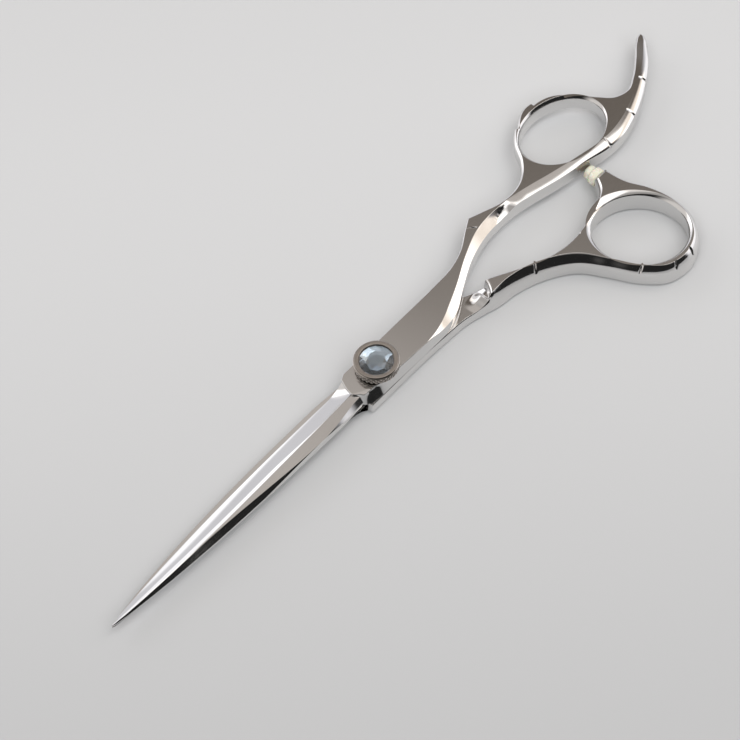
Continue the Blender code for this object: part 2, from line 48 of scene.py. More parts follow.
# ---- camera ----
# It looks down at the shears from the thumb ring's side, turned a little, with a long lens.
# Frame: x to the right of the picture, y away from the camera, z up, about the dial's face.
VIEW_TURN = math.radians(-137.4778)     # the shears' +X, seen in the camera's own frame
VIEW_PIVOT = (1.50461, 2.60645)         # mm, where the pivot stands in that frame
VIEW_FACE_Z = 8.95                      # mm, height of the plane that the camera aims at
VIEW_DISTANCE = 700.0                   # mm
VIEW_HEIGHT = math.radians(57.0)
VIEW_ROLL = math.radians(-6.0)
VIEW_LENS = 166.86                      # on a 36 mm sensor


def from_view(vector):
    """Turn a direction from the camera's frame to the shears' frame."""
    c, s = math.cos(VIEW_TURN), math.sin(VIEW_TURN)
    x, y, z = vector
    return Vector((c * x + s * y, -s * x + c * y, z))


eye = Vector((0.0, -math.cos(VIEW_HEIGHT), math.sin(VIEW_HEIGHT)))
across = Vector((1.0, 0.0, 0.0))
upward = across.cross(-eye)
right = math.cos(VIEW_ROLL) * across + math.sin(VIEW_ROLL) * upward
upright = -math.sin(VIEW_ROLL) * across + math.cos(VIEW_ROLL) * upward
place = from_view(eye * VIEW_DISTANCE - Vector((*VIEW_PIVOT, -VIEW_FACE_Z))) / 1000.0
camera = bpy.data.objects.new("camera", bpy.data.cameras.new("camera"))
camera.data.lens = VIEW_LENS
camera.data.sensor_width = 36.0
camera.data.sensor_fit = "HORIZONTAL"
camera.data.clip_start = 0.05
camera.matrix_world = Matrix.Translation(place) @ Matrix(
    (from_view(right), from_view(upright), from_view(eye))).transposed().to_4x4()
scene.collection.objects.link(camera)
scene.camera = camera


# ---- studio ----
# A white sweep runs up behind the shears, and soft boxes stand over them and at their sides. The
# side of the camera is dark, and so is a gap over the sweep. One more box over the camera
# lights the table alone.
SWEEP_GLOW, SWEEP_COLOUR, SWEEP_TURN = 0.69, "#f3f6ff", 17.0
SWEEP_FADE = (0.50, 0.74)               # sine of the height where the sweep starts to fade, and ends
GAP_GLOW, GAP_COLOUR = 0.132, "#ffebd8"
# Azimuth, height, degrees from there of full light and of none, colour, strength.
SOFT_BOXES = (
    (90, 88, 25, 36, "#fffaf6", 0.43),
    (90, 88, 5, 15, "#fffaf6", 0.43),
    (4, 68, 12, 20, "#fffdfb", 1.2),
    (16, 44, 14, 21, "#fff3e6", 1.0),
    (140, 40, 8, 18, "#fdfdff", 0.8),
    (15, 14, 18, 35, "#fffdfb", 0.5),
    (108, 31, 4, 9, "#fdfdff", 0.78),
    (180, 10, 30, 60, "#fffaf6", 0.78),
)


def linear(colour):
    """An sRGB hex colour as linear red, green, blue and alpha."""
    value = np.array([int(colour[i:i + 2], 16) for i in (1, 3, 5)]) / 255.0
    value = np.where(value <= 0.04045, value / 12.92, ((value + 0.055) / 1.055) ** 2.4)
    return (*value.tolist(), 1.0)


def add(tree, kind, links=(), **settings):
    """Add a node: settings are properties or, by number, inputs; links are (input, output)."""
    node = tree.nodes.new(kind)
    for name, value in settings.items():
        if name[0] == "i" and name[1:].isdigit():
            node.inputs[int(name[1:])].default_value = value
        else:
            setattr(node, name, value)
    for socket, output in links:
        tree.links.new(output, node.inputs[socket])
    return node


world = bpy.data.worlds.new("studio")
world.use_nodes = True
scene.world = world
sky = world.node_tree
sky.nodes.clear()
where = add(sky, "ShaderNodeTexCoord")
turned = add(sky, "ShaderNodeMapping", [(0, where.outputs["Generated"])],
             vector_type="VECTOR", i2=(0.0, 0.0, VIEW_TURN))


def direction(azimuth, height):
    """A direction in the camera's frame: 0 to the right, 90 away from the camera."""
    a, h = math.radians(azimuth), math.radians(height)
    return (math.cos(a) * math.cos(h), math.sin(a) * math.cos(h), math.sin(h))


def soft_box(azimuth, height, inner, outer, colour, strength):
    """A soft round light: full within inner degrees of its middle, none past outer."""
    near = add(sky, "ShaderNodeVectorMath", [(0, turned.outputs[0])], operation="DOT_PRODUCT",
               i1=Vector(direction(azimuth, height)).normalized())
    ramp = add(sky, "ShaderNodeMapRange", [(0, near.outputs["Value"])],
               interpolation_type="SMOOTHSTEP", i1=math.cos(math.radians(outer)),
               i2=math.cos(math.radians(inner)), i3=0.0, i4=strength)
    return add(sky, "ShaderNodeVectorMath", [(3, ramp.outputs[0])], operation="SCALE",
               i0=linear(colour)[:3])


parts = add(sky, "ShaderNodeSeparateXYZ", [(0, turned.outputs[0])])
low = add(sky, "ShaderNodeMapRange", [(0, parts.outputs[2])], interpolation_type="SMOOTHSTEP",
          i1=SWEEP_FADE[0], i2=SWEEP_FADE[1], i3=1.0, i4=0.0)
half = add(sky, "ShaderNodeVectorMath", [(0, turned.outputs[0])], operation="DOT_PRODUCT",
           i1=direction(90.0 - SWEEP_TURN, 0.0))
behind = add(sky, "ShaderNodeMapRange", [(0, half.outputs["Value"])],
             interpolation_type="SMOOTHSTEP", i1=-0.05, i2=0.10, i3=0.0, i4=1.0)
band = add(sky, "ShaderNodeMath", [(0, low.outputs[0]), (1, behind.outputs[0])],
           operation="MULTIPLY")
sweep = add(sky, "ShaderNodeVectorMath", [(3, band.outputs[0])], operation="SCALE",
            i0=[SWEEP_GLOW * v for v in linear(SWEEP_COLOUR)[:3]])
gap = add(sky, "ShaderNodeRGB")
gap.outputs[0].default_value = [GAP_GLOW * v for v in linear(GAP_COLOUR)[:3]] + [1.0]
back = add(sky, "ShaderNodeVectorMath", [(3, behind.outputs[0]), (0, gap.outputs[0])],
           operation="SCALE")
total = back
for light in [sweep] + [soft_box(*box) for box in SOFT_BOXES]:
    total = add(sky, "ShaderNodeVectorMath", [(0, total.outputs[0]), (1, light.outputs[0])],
                operation="ADD")
ambient = add(sky, "ShaderNodeVectorMath", [(0, total.outputs[0])], operation="ADD",
              i1=(0.02, 0.02, 0.02))
background = add(sky, "ShaderNodeBackground", [(0, ambient.outputs[0])], i1=1.0)
add(sky, "ShaderNodeOutputWorld", [(0, background.outputs[0])])

LAMP_DIRECTION = from_view(direction(-80, 62))
LAMP_DISTANCE = 1.2
lamp = bpy.data.lights.new("soft box over the camera", "AREA")
lamp.shape = "RECTANGLE"
lamp.size = 1.4
lamp.size_y = 1.2
lamp.energy = 15.5
table_lamp = bpy.data.objects.new("soft box over the camera", lamp)
table_lamp.matrix_world = (Matrix.Translation(LAMP_DIRECTION * LAMP_DISTANCE)
                           @ LAMP_DIRECTION.to_track_quat("Z", "Y").to_matrix().to_4x4())
table_lamp.visible_glossy = False
table_lamp.visible_transmission = False
scene.collection.objects.link(table_lamp)

# ---- table ----
# A sheet of satin white acrylic. Its colour carries painted shade: it is greyer towards the camera,
# where less light falls. It lies a hair under the bolt's head, so that the two faces don't lie in one
# plane.
TABLE_Z = -0.00002
TABLE_HALF = 2.0
floor_mesh = bpy.data.meshes.new("table")
floor_mesh.from_pydata([(TABLE_HALF * x, TABLE_HALF * y, TABLE_Z)
                        for x, y in ((-1, -1), (1, -1), (1, 1), (-1, 1))], [], [(0, 1, 2, 3)])
floor = bpy.data.objects.new("table", floor_mesh)
scene.collection.objects.link(floor)


def surface(name):
    """A new material with its tree, its shader and the object's coordinates in metres."""
    made = bpy.data.materials.new(name)
    made.use_nodes = True
    tree = made.node_tree
    return made, tree, tree.nodes["Principled BSDF"], add(tree, "ShaderNodeTexCoord").outputs["Object"]


acrylic, tree, shader, place = surface("satin white acrylic")
along = add(tree, "ShaderNodeSeparateXYZ", [(0, add(tree, "ShaderNodeMapping", [(0, place)],
                                                    i2=(0.0, 0.0, VIEW_TURN)).outputs[0])])
# painted shade: the table's colour falls from #c2c3c4 far off to #a6a7a8 near the camera
depth = add(tree, "ShaderNodeMapRange", [(0, along.outputs[1])], interpolation_type="SMOOTHSTEP",
            i1=-0.14, i2=0.08)
tint = add(tree, "ShaderNodeMix", [(0, depth.outputs[0])], data_type="RGBA",
           i6=linear("#a6a7a8"), i7=linear("#c2c3c4"))
tree.links.new(tint.outputs[2], shader.inputs["Base Color"])
satin = add(tree, "ShaderNodeTexNoise", [(0, place)], i2=900.0, i3=2.0)
rough = add(tree, "ShaderNodeMapRange", [(0, satin.outputs[0])], i3=0.32, i4=0.40)
tree.links.new(rough.outputs[0], shader.inputs["Roughness"])
floor_mesh.materials.append(acrylic)

# ---- finger half ----
# One forging of stainless steel: ring, finger rest, shank, ricasso and upper blade. It is
# ground flat above, with bevels and small grooves cut by hand along its edges, and polished.
MM = 0.001
FINGER_TOP = 6.4
FINGER_HANDLE_BASE = 2.2
FINGER_INNER = 3.45
REST_RISE = 1.1                         # of the finger rest's underside
REST_FALL = 0.7                         # of its flat above
EDGE_BREAK = 0.12
LINE_DEPTH = 0.10                       # of the line cut where a facet ends in a point
# Outline seen from above: x, y, width of the top bevel, its drop, its roundness, sharp corner.
FINGER_EDGE = (
    (5.9, -4.1, 0.20, 0.20, 0.5, 1), (-12.0, -4.15, 0.25, 0.25, 0.6, 0),
    (-22.0, -4.3, 0.28, 0.25, 0.6, 0), (-28.0, -4.7, 0.30, 0.3, 0.6, 0),
    (-32.5, -6.1, 0.30, 0.3, 0.6, 0), (-36.5, -8.5, 0.32, 0.3, 0.6, 0),
    (-39.7, -10.4, 0.35, 0.3, 0.6, 1), (-43.0, -9.2, 0.35, 0.3, 0.6, 0),
    (-47.5, -7.8, 0.40, 0.35, 0.6, 0), (-51.5, -7.7, 0.45, 0.4, 0.6, 0),
    (-55.2, -9.0, 0.50, 0.4, 0.6, 0), (-58.3, -11.9, 0.60, 0.5, 0.5, 0),
    (-60.6, -15.6, 0.60, 0.6, 0.4, 0), (-64.3, -18.7, 0.60, 0.7, 0.4, 0),
    (-69.3, -20.55, 0.60, 0.7, 0.4, 0), (-74.3, -19.2, 0.60, 0.7, 0.4, 0),
    (-79.1, -15.0, 0.60, 0.7, 0.4, 0), (-82.0, -10.4, 0.60, 0.6, 0.5, 0),
    (-84.3, -7.5, 0.50, 0.5, 0.6, 0), (-87.2, -6.6, 0.45, 0.4, 0.6, 0),
    (-90.75, -8.1, 0.45, 0.4, 0.6, 0), (-95.15, -11.15, 0.45, 0.5, 0.6, 0),
    (-98.35, -13.65, 0.45, 0.6, 0.7, 0), (-100.35, -14.75, 0.50, 0.7, 0.8, 0),
    (-101.3, -14.75, 0.50, 0.8, 0.8, 0), (-101.45, -13.8, 0.50, 0.8, 0.8, 0),
    (-101.0, -12.8, 0.70, 0.8, 0.8, 0),
    (-99.9, -11.5, 0.90, 0.8, 0.6, 0), (-97.3, -9.0, 1.20, 0.7, 0.5, 0),
    (-92.3, -5.5, 1.50, 0.7, 0.5, 0),
    (-87.0, -2.6, 1.90, 0.8, 0.5, 0), (-82.0, -0.7, 2.10, 0.8, 0.5, 0),
    (-77.5, 0.3, 2.30, 0.8, 0.5, 0), (-73.0, 0.2, 2.20, 0.8, 0.5, 0),
    (-67.0, -1.1, 1.90, 0.5, 0.6, 0), (-60.0, -2.4, 2.10, 0.36, 0.4, 0),
    (-52.5, -4.2, 2.10, 0.36, 0.4, 0), (-48.8, -4.9, 2.10, 0.45, 0.4, 0),
    (-47.4, -5.05, 2.10, 0.9, 0.1, 0),
    (-39.0, -4.7, 2.10, 1.0, 0.0, 0), (-33.0, -3.0, 1.50, 0.8, 0.0, 0),
    (-26.0, 0.5, 1.40, 0.8, 0.0, 0), (-21.0, 3.3, 1.90, 1.0, 0.0, 0),
    (-16.5, 4.5, 1.20, 0.45, 0.0, 0), (-12.0, 4.6, 0.20, 0.10, 0.3, 0),
    (-6.0, 4.58, 0.12, 0.12, 0.5, 0), (0.0, 4.55, 0.12, 0.12, 0.5, 0),
    (4.0, 4.5, 0.12, 0.12, 0.5, 0), (6.2, 4.2, 0.12, 0.12, 0.5, 0),
    (7.6, 3.2, 0.12, 0.12, 0.5, 0), (8.3, 1.5, 0.12, 0.12, 0.5, 0),
    (8.2, -0.6, 0.15, 0.15, 0.5, 0),
    (7.2, -3.4, 0.15, 0.15, 0.5, 1),
)
# How far the upright wall leans in from its foot to the bevel, by x, on the +Y side.
FINGER_LEAN = ((-20.0, -12.0, -6.0, 0.0, 2.0, 4.0, 6.2, 7.6),
               (0.0, 0.45, 0.65, 0.9, 1.15, 1.75, 1.75, 1.1))
# Finger hole: centre, half axes, turn of the long axis, and at eight points round it from that
# axis on the width and drop of its bevel.
FINGER_HOLE = (-70.1, -10.1, 10.1, 7.8, 171.0)
FINGER_HOLE_BEVEL = ((0.6, 0.6), (0.7, 0.8), (0.65, 0.9), (0.6, 0.8),
                     (0.6, 0.6), (0.4, 0.4), (0.3, 0.3), (0.3, 0.3))
# Grooves filed across the edge: x, y, width, depth and how far they slant down the edge.
FINGER_GROOVES = ((-92.2, -5.6, 0.35, 0.40, 0.5), (-83.8, -1.4, 0.35, 0.40, 0.7),
                  (-74.0, 0.3, 0.35, 0.40, 0.2))
# Where the long facet ends in a point, the shank behind it is stepped in: x and y of the point,
# step, length over which it comes out again, and way forwards for each mm down the edge.
FINGER_POINT = ((-48.2, -5.0, 0.12, 9.0, 4.6),)
# Leaves along the ring's edge, each stepped in behind the tip of the one before: x and y of
# the tip, step and length.
FINGER_LEAVES = ((-63.6, -18.3, 0.70, 7.0), (-71.1, -20.4, 0.75, 7.0), (-77.8, -16.5, 0.95, 6.0))


def closed_spline(rows, sharp, spacing):
    """Cubic Hermite loop through rows, with x and y first. The tangent at a row is the mean of
    the two chords there, each weighted by the other's length; a sharp row keeps both chords."""
    rows = np.asarray(rows, float)
    ahead = np.roll(rows, -1, 0)
    length = np.hypot(*(ahead - rows)[:, :2].T)
    behind = np.roll(length, 1)
    chord = (ahead - rows) / length[:, None]
    arriving = np.roll(chord, 1, 0)
    mean = (arriving * length[:, None] + chord * behind[:, None]) / (length + behind)[:, None]
    corner = np.asarray(sharp, bool)[:, None]
    leave = np.where(corner, chord, mean)
    arrive = np.roll(np.where(corner, arriving, mean), -1, 0)
    start = np.concatenate(([0.0], np.cumsum(length)))
    count = int(start[-1] / spacing)
    s = np.arange(count) * start[-1] / count
    k = np.searchsorted(start, s, "right") - 1
    t = ((s - start[k]) / length[k])[:, None]
    run = length[k][:, None]
    return ((1 + 2 * t) * (1 - t) ** 2 * rows[k] + t * (1 - t) ** 2 * run * leave[k]
            + t * t * (3 - 2 * t) * ahead[k] - t * t * (1 - t) * run * arrive[k])


def ellipse_rows(hole, bevel):
    """Twenty-four rows round an ellipse, with the bevel's figures spread evenly between them."""
    x, y, long_axis, short_axis, turn = hole
    a = np.arange(24) * math.tau / 24
    c, s = math.cos(math.radians(turn)), math.sin(math.radians(turn))
    u, v = long_axis * np.cos(a), short_axis * np.sin(a)
    bevel = np.asarray(bevel, float)
    near = np.interp(a, np.arange(len(bevel) + 1) * math.tau / len(bevel),
                     np.arange(len(bevel) + 1.0))
    figures = [np.interp(near, np.arange(len(bevel) + 1.0), np.append(f, f[0])) for f in bevel.T]
    return np.stack([x + u * c - v * s, y + u * s + v * c, *figures], 1)


def from_point(flat, x, y):
    """Signed way along a closed loop from its point nearest to x, y."""
    step = np.hypot(*(np.roll(flat, -1, 0) - flat).T)
    way = np.cumsum(step) - step
    here = way[np.argmin(np.hypot(flat[:, 0] - x, flat[:, 1] - y))]
    return (way - here + step.sum() / 2) % step.sum() - step.sum() / 2


def into_metal(points, hole):
    """Unit vectors square to a loop, towards the metal, smoothed over a few points."""
    along = np.roll(points, -3, 0) - np.roll(points, 3, 0)
    square = np.stack([along[:, 1], -along[:, 0]], 1) / np.hypot(*along.T)[:, None]
    x, y = points.T
    area = np.sum(x * np.roll(y, -1) - y * np.roll(x, -1))
    return square * (-1.0 if (area > 0) != hole else 1.0)


def edge_band(loop, hole, top, base, base_round, grooves=(), leaves=(), lean=None,
              points=()):
    """The side of a plate, as a grid of loop points by points up the side.

    From the base a quarter ellipse, an upright wall, the top bevel, whose section runs
    between a straight line and a quarter ellipse with its roundness, and an arc that breaks
    the edge with the flat. Lean says how far in the wall's top stands from its foot, less where
    the wall is low. A groove is a bell curve of the way s along the edge that pushes
    wall and bevel into the metal; a leaf steps in behind its tip and comes out by the square of
    what is left of its length; a point steps in along a line that runs down the bevel aslant.
    """
    flat, width, drop, bow = loop[:, :2], loop[:, 2], loop[:, 3], loop[:, 4]
    normal = into_metal(flat, hole)
    stepped = np.zeros(len(flat))
    for x, y, deep, long in leaves:
        s = from_point(flat, x, y)
        stepped += deep * np.clip(1 - s / long, 0.0, 1.0) ** 2 * np.clip(s / 0.2, 0.0, 1.0)
    flat = flat + normal * stepped[:, None]
    tilt = lean(flat) if lean else np.zeros(len(flat))
    tilt = tilt * np.clip((top(flat + normal * tilt[:, None]) - FINGER_INNER)
                          / (FINGER_TOP - FINGER_INNER), 0.0, 1.0)
    slope = drop * (1 - bow) / (width * (1 - bow + bow * math.pi / 2))
    steep = np.arctan(slope)
    arc = np.minimum(EDGE_BREAK, 0.3 * width / np.maximum(np.tan(steep / 2), 0.05))
    reach = arc * np.tan(steep / 2)
    edge_top = top(flat + normal * (tilt + width + reach)[:, None])
    edge_base = base(flat + normal * base_round)
    columns = []
    for a in np.linspace(0.0, math.pi / 2, 5):
        columns.append((base_round * (1 - math.sin(a)), edge_base + base_round * (1 - math.cos(a))))
    for t in (0.25, 0.5, 0.75):
        low, high = edge_base + base_round, edge_top - drop
        columns.append((tilt * t, low + (high - low) * t))
    for t in np.linspace(0.0, 1.0, 9)[:-1]:
        a = t * math.pi / 2
        out = (1 - bow) * t + bow * (1 - math.cos(a))
        up = (1 - bow) * t + bow * math.sin(a)
        columns.append((tilt + width * out, edge_top - drop * (1 - up)))
    for t in np.linspace(0.0, 1.0, 5):
        a = steep * (1 - t)
        columns.append((tilt + width - reach * np.cos(steep) + arc * (np.sin(steep) - np.sin(a)),
                        edge_top - arc * (1 - np.cos(a))))
    inset = np.stack([np.broadcast_to(c[0], width.shape) for c in columns], 1)
    height = np.stack([c[1] for c in columns], 1)
    cut = np.zeros(height.shape)
    for x, y, wide, deep, slant in grooves:
        s = from_point(flat, x, y)[:, None] - slant * (edge_top[:, None] - height)
        cut = np.maximum(cut, deep * np.exp(-(s / wide) ** 2 * 4.0))
    for x, y, deep, long, slant in points:
        s = from_point(flat, x, y)[:, None] - slant * (edge_top[:, None] - height)
        fade = eased((1 - (edge_top[:, None] - height) / np.maximum(drop, 0.1)[:, None]) / 0.3)
        cut = np.maximum(cut, fade * (deep * np.clip(1 + s / long, 0, 1) * eased(-s / 0.6)
                                      + LINE_DEPTH * np.exp(-(s / 0.3) ** 2)))
    cut *= np.clip((1.8 - edge_top[:, None] + height) / 0.5, 0.0, 1.0)
    cut[:, -1] *= 0.6
    place = flat[:, None, :] + normal[:, None, :] * (inset + cut)[..., None]
    return np.concatenate([place, height[..., None]], 2)


def grid_faces(rows, columns, start, wrap_rows=True, wrap_columns=False):
    """Four corners of each face of a grid of points, as one array."""
    i = np.arange(rows if wrap_rows else rows - 1)[:, None]
    j = np.arange(columns if wrap_columns else columns - 1)[None, :]
    i2, j2 = (i + 1) % rows, (j + 1) % columns
    corners = (i * columns + j, i * columns + j2, i2 * columns + j2, i2 * columns + j)
    return np.stack(corners, -1).reshape(-1, 4) + start


def between(place, loops):
    """Which points lie between the loops: a line from each along +X crosses them an odd
    number of times."""
    odd = np.zeros(len(place), bool)
    x, y = place[:, :1], place[:, 1:]
    for loop in loops:
        x1, y1 = loop.T[:, None, :]
        x2, y2 = np.roll(loop, -1, 0).T[:, None, :]
        spans = (y1 > y) != (y2 > y)
        cross = x1 + (y - y1) * (x2 - x1) / np.where(y2 == y1, 1.0, y2 - y1)
        odd ^= (np.sum(spans & (cross > x), 1) % 2).astype(bool)
    return odd


def flat_cap(loops, height, spacing=1.2, fine=()):
    """Triangles between loops seen from above, with points on an even grid inside.

    Inside each fine box, of low x and y, high x and y and spacing, the grid is closer.
    """
    points = np.concatenate(loops)
    edges, start = [], 0
    for loop in loops:
        n = len(loop)
        edges += [(start + i, start + (i + 1) % n) for i in range(n)]
        start += n
    low, high = points.min(0), points.max(0)
    grids = []
    for x0, y0, x1, y1, pitch in [(*low, *high, spacing), *fine]:
        gx, gy = np.meshgrid(np.arange(x0, x1, pitch), np.arange(y0, y1, pitch))
        grid = np.stack([gx.ravel(), gy.ravel()], 1)
        if pitch == spacing:
            for fx0, fy0, fx1, fy1, _ in fine:
                grid = grid[~((grid > (fx0 - 0.1, fy0 - 0.1)) & (grid < (fx1 + 0.1, fy1 + 0.1))).all(1)]
        gap = np.full(len(grid), 9.0)
        for part in np.array_split(points, 40):
            gap = np.minimum(gap, np.hypot(*(grid[:, None] - part[None]).transpose(2, 0, 1)).min(1))
        grids.append(grid[(gap > pitch * 0.5) & between(grid, loops)])
    every = np.concatenate([points, *grids])
    found = delaunay_2d_cdt([Vector(p) for p in every.tolist()], edges, [], 0, 1e-6)
    place = np.array([tuple(v) for v in found[0]])
    faces = np.array(found[2])
    faces = faces[between(place[faces].mean(1), loops)]
    return np.concatenate([place, height(place)[:, None]], 1), faces


def solid(name, sheets, sharp=30.0):
    """One mesh in metres from sheets of (points in mm, faces), joined where they meet.

    An edge is sharp where its faces turn by more than so many degrees, and between two sheets
    that meet flat on, which then don't shade each other.
    """
    points, faces, start, sheet = [], [], 0, []
    for place, found in sheets:
        points.append(np.asarray(place, float).reshape(-1, 3))
        faces += [[int(i) + start for i in face] for face in found]
        sheet += [len(points)] * len(found)
        start += len(points[-1])
    mesh = bpy.data.meshes.new(name)
    mesh.from_pydata((np.concatenate(points) * MM).tolist(), [], faces)
    work = bmesh.new()
    work.from_mesh(mesh)
    layer = work.faces.layers.int.new("sheet")
    for face, number in zip(work.faces, sheet):
        face[layer] = number
    bmesh.ops.remove_doubles(work, verts=work.verts, dist=0.000002)
    bmesh.ops.recalc_face_normals(work, faces=work.faces)
    for edge in work.edges:
        sides = [face[layer] for face in edge.link_faces]
        edge.smooth = edge.calc_face_angle(0.0) < math.radians(sharp) and len(set(sides)) == 1
    work.faces.layers.int.remove(layer)
    for face in work.faces:
        face.smooth = True
    work.to_mesh(mesh)
    work.free()
    piece = bpy.data.objects.new(name, mesh)
    scene.collection.objects.link(piece)
    return piece


def plate(outline, hole, hole_bevel, top, base, base_round, grooves, leaves=(), lean=None,
          points=(), fine=()):
    """Sheets of a plate with one hole: two edge bands and the faces above and below."""
    outline = np.asarray(outline, float)
    outer = closed_spline(outline[:, :5], outline[:, 5], 0.12)
    rows = ellipse_rows(hole, hole_bevel)
    rows = np.column_stack([rows, np.full(len(rows), 0.35)])
    inner = closed_spline(rows, np.zeros(len(rows)), 0.2)
    bands = [edge_band(outer, False, top, base, base_round, grooves, leaves, lean, points),
             edge_band(inner, True, top, base, base_round)]
    sheets = [(band, grid_faces(*band.shape[:2], 0)) for band in bands]
    sheets.append(flat_cap([band[:, -1, :2] for band in bands], top, fine=fine))
    sheets.append(flat_cap([band[:, 0, :2] for band in bands], base))
    return sheets


def eased(value):
    """A smooth step from 0 to 1."""
    t = np.clip(value, 0.0, 1.0)
    return t * t * (3 - 2 * t)


NICK_START = np.array((-37.3, -9.2))
NICK_END = np.array((-39.3, -7.2))
FRONT_CORNER = np.array((6.1, 2.1))


def finger_top(place):
    """Height of the flat above, with a nick filed across the shank's corner: a V by the
    distance from a straight line, that runs out at the line's end. The ricasso is crowned by
    a square of x, and past a bent line at its front corner two planes fall away at 7 degrees.
    The finger rest falls by a smooth step."""
    run = NICK_END - NICK_START
    t = np.clip((place - NICK_START) @ run / (run @ run), 0.0, 1.0)
    off = np.hypot(*(place - NICK_START - t[:, None] * run).T)
    nick = 0.28 * (1 - t ** 2) * np.clip(1 - off / 0.15, 0.0, 1.0)
    side = (place - FRONT_CORNER) @ (0.154, 0.988) * eased((place[:, 0] - 2.5) / 1.5)
    front = (place - FRONT_CORNER) @ (0.537, 0.844)
    crown = 0.0005 * np.maximum(place[:, 0] + 20.0, 0.0) ** 2
    fall = REST_FALL * eased((-91.0 - place[:, 0]) / 12.0)
    return FINGER_TOP - nick - crown - fall - 0.12 * np.maximum(0.0, np.maximum(side, front))


def finger_lean(place):
    """How far the wall leans in: the table's figure for x, times a smooth step of y."""
    x, y = place.T
    return np.interp(x, *FINGER_LEAN) * eased((y - 0.5) / 2.0)


def finger_base(place):
    """Height of the underside: the inner face, then the handle's base after a smooth step of x,
    and another smooth step up along the finger rest."""
    return (FINGER_INNER - (FINGER_INNER - FINGER_HANDLE_BASE) * eased((-28.0 - place[:, 0]) / 4.0)
            + REST_RISE * eased((-89.0 - place[:, 0]) / 13.0))


BLADE_LENGTH = 78.0                     # from the pivot axis to the tip
BLADE_HEIGHT = 1.95                     # of the ridge over the inner face, at the root
HOLLOW_SINK = 0.17
INNER_SINK = 0.2
STRIPE_FALL = math.tan(math.radians(17))
SPINE_FALL = math.tan(math.radians(50))
SHOULDER_HEIGHT = 0.97                  # as a share of the ridge's


def blade_sheets(side, inner, spine_wide, from_x, thick):
    """A blade as seven strips, each a grid of stations by points across, with sharp borders.

    The section runs from the edge up the hollow-ground face, over a narrow stripe and the
    ridge, across the flat to the shoulder, down the spine's bevel and wall, and back along
    the hollowed inner face. Edge and spine turn in to the point as 1 - u to a power of the
    way u along the blade. At the root the hollow runs out upwards as a power of x.
    """
    x = np.concatenate([np.linspace(from_x, 7.0, 4)[:-1], np.linspace(7.0, 13.0, 50)[:-1],
                        np.linspace(13.0, 76.0, 150), np.linspace(76.0, BLADE_LENGTH, 14)[1:]])
    u = np.clip((x - 8.0) / (BLADE_LENGTH - 8.0), 0.0, 1.0)
    edge = -0.3 - 2.9 * (1 - u ** 2.6)
    spine = 0.3 + (spine_wide - 0.3) * (1 - u ** 3.0) - 0.5 * (1 - eased((x - 6.0) / 9.0))
    ridge = (0.1 + 0.5 * u) * spine
    height = BLADE_HEIGHT - 1.5 * u ** 1.5
    root = 0.9 * (1 - eased((x - 9.0) / 11.0))
    bevel = root + (spine - ridge) * 0.88 * eased((x - 20.0) / 38.0)
    tip = np.sqrt(np.clip(1 - np.maximum(x - BLADE_LENGTH + 1.0, 0.0) ** 2, 0.02, 1.0))
    edge, spine, ridge, bevel = edge * tip, spine * tip, ridge * tip, bevel * tip
    shoulder = spine - bevel
    shoulder_z = SHOULDER_HEIGHT * height
    foot = np.maximum(shoulder_z - bevel * SPINE_FALL, 0.35 * height)
    stripe = np.minimum(0.8 * eased((x - 14.0) / 20.0), 0.3 * (ridge - edge))
    start, start_z = ridge - stripe, height - stripe * STRIPE_FALL
    lift = np.clip(1 - (x - 7.0) / 5.5, 0.0, 1.0) ** 2.4
    land, zero = 0.06 + 0 * x, 0 * x

    def strip(y0, z0, y1, z1, steps, sink=0.0, rise=0.0):
        """Straight from one border to the other, less a parabola sink deep, and lifted at the
        root by that share of what is missing to the root's thickness."""
        t = np.linspace(0.0, 1.0, steps)[None, :]
        y = y0[:, None] * (1 - t) + y1[:, None] * t
        z = z0[:, None] * (1 - t) + z1[:, None] * t - (sink + 0 * x)[:, None] * 4 * t * (1 - t)
        z = z + rise * lift[:, None] * np.maximum(thick - z, 0.0)
        grid = np.stack([np.broadcast_to(x[:, None], y.shape), side * y, inner + side * z], 2)
        return grid, grid_faces(*y.shape, 0, wrap_rows=False).tolist()

    sheets = [strip(edge, zero, edge, land, 2),
              strip(edge, land, start, start_z, 10, HOLLOW_SINK * (1 - u), 0.95),
              strip(start, start_z, ridge, height, 3, 0.0, 0.95),
              strip(ridge, height, shoulder, shoulder_z, 4),
              strip(shoulder, shoulder_z, spine, foot, 5),
              strip(spine, foot, spine, zero, 3),
              strip(spine, zero, edge, zero, 6, -INNER_SINK * (1 - u))]
    ends = [np.concatenate([grid[row][:-1] for grid, _ in sheets]) for row in (0, -1)]
    return sheets + [(loop, [list(range(len(loop)))]) for loop in ends]


finger = solid("finger_half_polished",
               plate(FINGER_EDGE, FINGER_HOLE, FINGER_HOLE_BEVEL, finger_top, finger_base, 0.35,
                     FINGER_GROOVES, FINGER_LEAVES, finger_lean, FINGER_POINT,
                     [(-39.8, -9.7, -36.9, -6.9, 0.06), (2.0, -1.0, 8.6, 4.6, 0.15)])
               + blade_sheets(1, FINGER_INNER, 3.4, 4.0, 2.35))
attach(finger, "finger_side")
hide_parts("finger_half")

# ---- thumb half ----
# The other forging, with the thumb ring and the lower blade. Its ricasso is half as thick, and
# a carved step, with a scoop at its foot, leads up to the shank.
THUMB_BASE = 0.4
THUMB_INNER = 3.15
THUMB_TOP = 6.0
